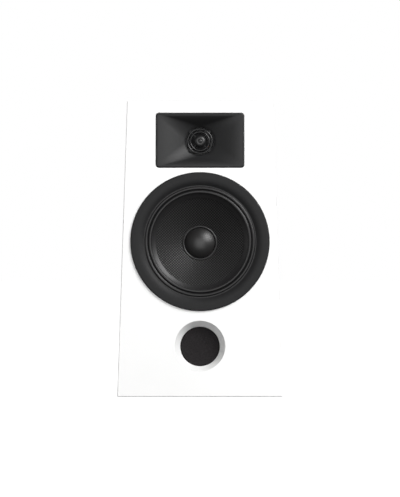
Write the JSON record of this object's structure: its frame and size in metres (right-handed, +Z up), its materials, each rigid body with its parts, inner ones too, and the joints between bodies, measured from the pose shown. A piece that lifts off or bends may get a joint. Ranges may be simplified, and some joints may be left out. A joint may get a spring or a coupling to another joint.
{
  "type": "bookshelf speaker",
  "caption": "Two-way bookshelf speaker: tapered white cabinet with a horn-loaded dome tweeter, a woven-cone woofer and a flared bass port.",
  "frame": {"origin": "middle of the bottom face's rectangle", "axes": "+Z up, front facing -Y, +X to the right as seen from the front"},
  "size_m": [0.212, 0.2649, 0.38],
  "materials": {
    "white_lacquer": "satin",
    "raw_fibreboard": "matte",
    "damping_felt": "matte",
    "port_plastic": "matte",
    "charcoal_foam": "matte",
    "trim_plastic": "matte",
    "horn_plastic": "satin",
    "phase_plastic": "gloss",
    "cast_frame": "satin",
    "gasket_foam": "matte",
    "black_steel": "satin",
    "surround_rubber": "satin",
    "woven_cone": "satin",
    "cap_plastic": "satin",
    "spider_cloth": "matte",
    "former_foil": "satin",
    "copper_wire": "satin",
    "motor_steel": "satin",
    "ferrite": "matte",
    "brown_board": "matte",
    "dome_cloth": "satin",
    "cup_plastic": "matte",
    "gold_plate": "gloss",
    "red_plastic": "gloss",
    "black_plastic": "gloss",
    "capacitor_film": "gloss",
    "resistor_ceramic": "matte",
    "cable_jacket": "satin"
  },
  "bodies": {
    "root": {"back_damping_pad": "damping_felt", "back_panel": "white_lacquer", "binding_post_black": "gold_plate", "binding_post_red": "gold_plate", "bottom_panel": "white_lacquer", "crossover_board": "brown_board", "crossover_capacitors": "capacitor_film", "crossover_resistors": "resistor_ceramic", "crossover_screws": "black_steel", "front_baffle": "white_lacquer", "input_cable": "cable_jacket", "left_side_panel": "white_lacquer", "port_tube": "port_plastic", "post_nuts": "gold_plate", "post_solder_tags": "gold_plate", "right_side_panel": "white_lacquer", "side_damping_felts": "damping_felt", "terminal_cup": "cup_plastic", "terminal_cup_screws": "black_steel", "top_panel": "white_lacquer", "tweeter_cable": "cable_jacket", "tweeter_clamp_bars": "black_steel", "tweeter_clamp_screws": "black_steel", "tweeter_dome_surround": "surround_rubber", "tweeter_front_plate": "black_steel", "tweeter_gasket": "gasket_foam", "tweeter_horn_plate": "horn_plastic", "tweeter_inductor": "copper_wire", "tweeter_magnet": "ferrite", "tweeter_phase_plug": "phase_plastic", "tweeter_rear_chamber": "horn_plastic", "tweeter_terminals": "gold_plate", "tweeter_throat_ring": "horn_plastic", "tweeter_yoke": "motor_steel", "window_brace": "raw_fibreboard", "woofer_basket": "cast_frame", "woofer_cable": "cable_jacket", "woofer_front_plate": "motor_steel", "woofer_gasket": "gasket_foam", "woofer_inductor": "copper_wire", "woofer_magnet": "ferrite", "woofer_screws": "black_steel", "woofer_spider": "spider_cloth", "woofer_surround": "surround_rubber", "woofer_terminal_strip": "brown_board", "woofer_tinsel_leads": "copper_wire", "woofer_trim_ring": "trim_plastic", "woofer_yoke": "motor_steel"},
    "woofer_cone_assembly": {"woofer_cone": "woven_cone", "woofer_dust_cap": "cap_plastic", "woofer_cap_collar": "surround_rubber", "woofer_coil_former": "former_foil", "woofer_voice_coil": "copper_wire"},
    "tweeter_dome_assembly": {"tweeter_dome": "dome_cloth", "tweeter_voice_coil": "copper_wire"},
    "port_plug": {"port_foam_plug": "charcoal_foam"},
    "red_clamp": {"clamp_washer_red": "gold_plate"},
    "red_knob": {"post_knob_red": "red_plastic"},
    "black_clamp": {"clamp_washer_black": "gold_plate"},
    "black_knob": {"post_knob_black": "black_plastic"}
  },
  "joints": [
    {"name": "woofer_excursion", "type": "slide", "parent": "root", "child": "woofer_cone_assembly", "axis": [0, -0.9976, 0.0698], "range_m": [-0.005, 0.005], "stiffness_N_per_m": 1000, "deforming": ["woofer_surround", "woofer_spider", "woofer_tinsel_leads"]},
    {"name": "tweeter_excursion", "type": "slide", "parent": "root", "child": "tweeter_dome_assembly", "axis": [0, -0.9976, 0.0698], "range_m": [-0.0003, 0.0003], "stiffness_N_per_m": 1500, "deforming": ["tweeter_dome_surround"]},
    {"name": "port_plug_pull", "type": "slide", "parent": "root", "child": "port_plug", "axis": [0, -0.9976, 0.0698], "range_m": [0, 0.075]},
    {"name": "red_clamp_lift", "type": "slide", "parent": "root", "child": "red_clamp", "axis": [0, 1, 0], "range_m": [0, 0.005]},
    {"name": "red_knob_turn", "type": "hinge", "parent": "red_clamp", "child": "red_knob", "pos_m": [0.0095, 0.12, 0.115], "axis": [0, 1, 0], "range_deg": [0, 1440]},
    {"name": "black_clamp_lift", "type": "slide", "parent": "root", "child": "black_clamp", "axis": [0, 1, 0], "range_m": [0, 0.005]},
    {"name": "black_knob_turn", "type": "hinge", "parent": "black_clamp", "child": "black_knob", "pos_m": [-0.0095, 0.12, 0.115], "axis": [0, 1, 0], "range_deg": [0, 1440]}
  ],
  "couplings": [
    {"joint": "red_knob_turn", "follows": "red_clamp_lift", "rad_per_m": 5026.5},
    {"joint": "black_knob_turn", "follows": "black_clamp_lift", "rad_per_m": 5026.5}
  ]
}
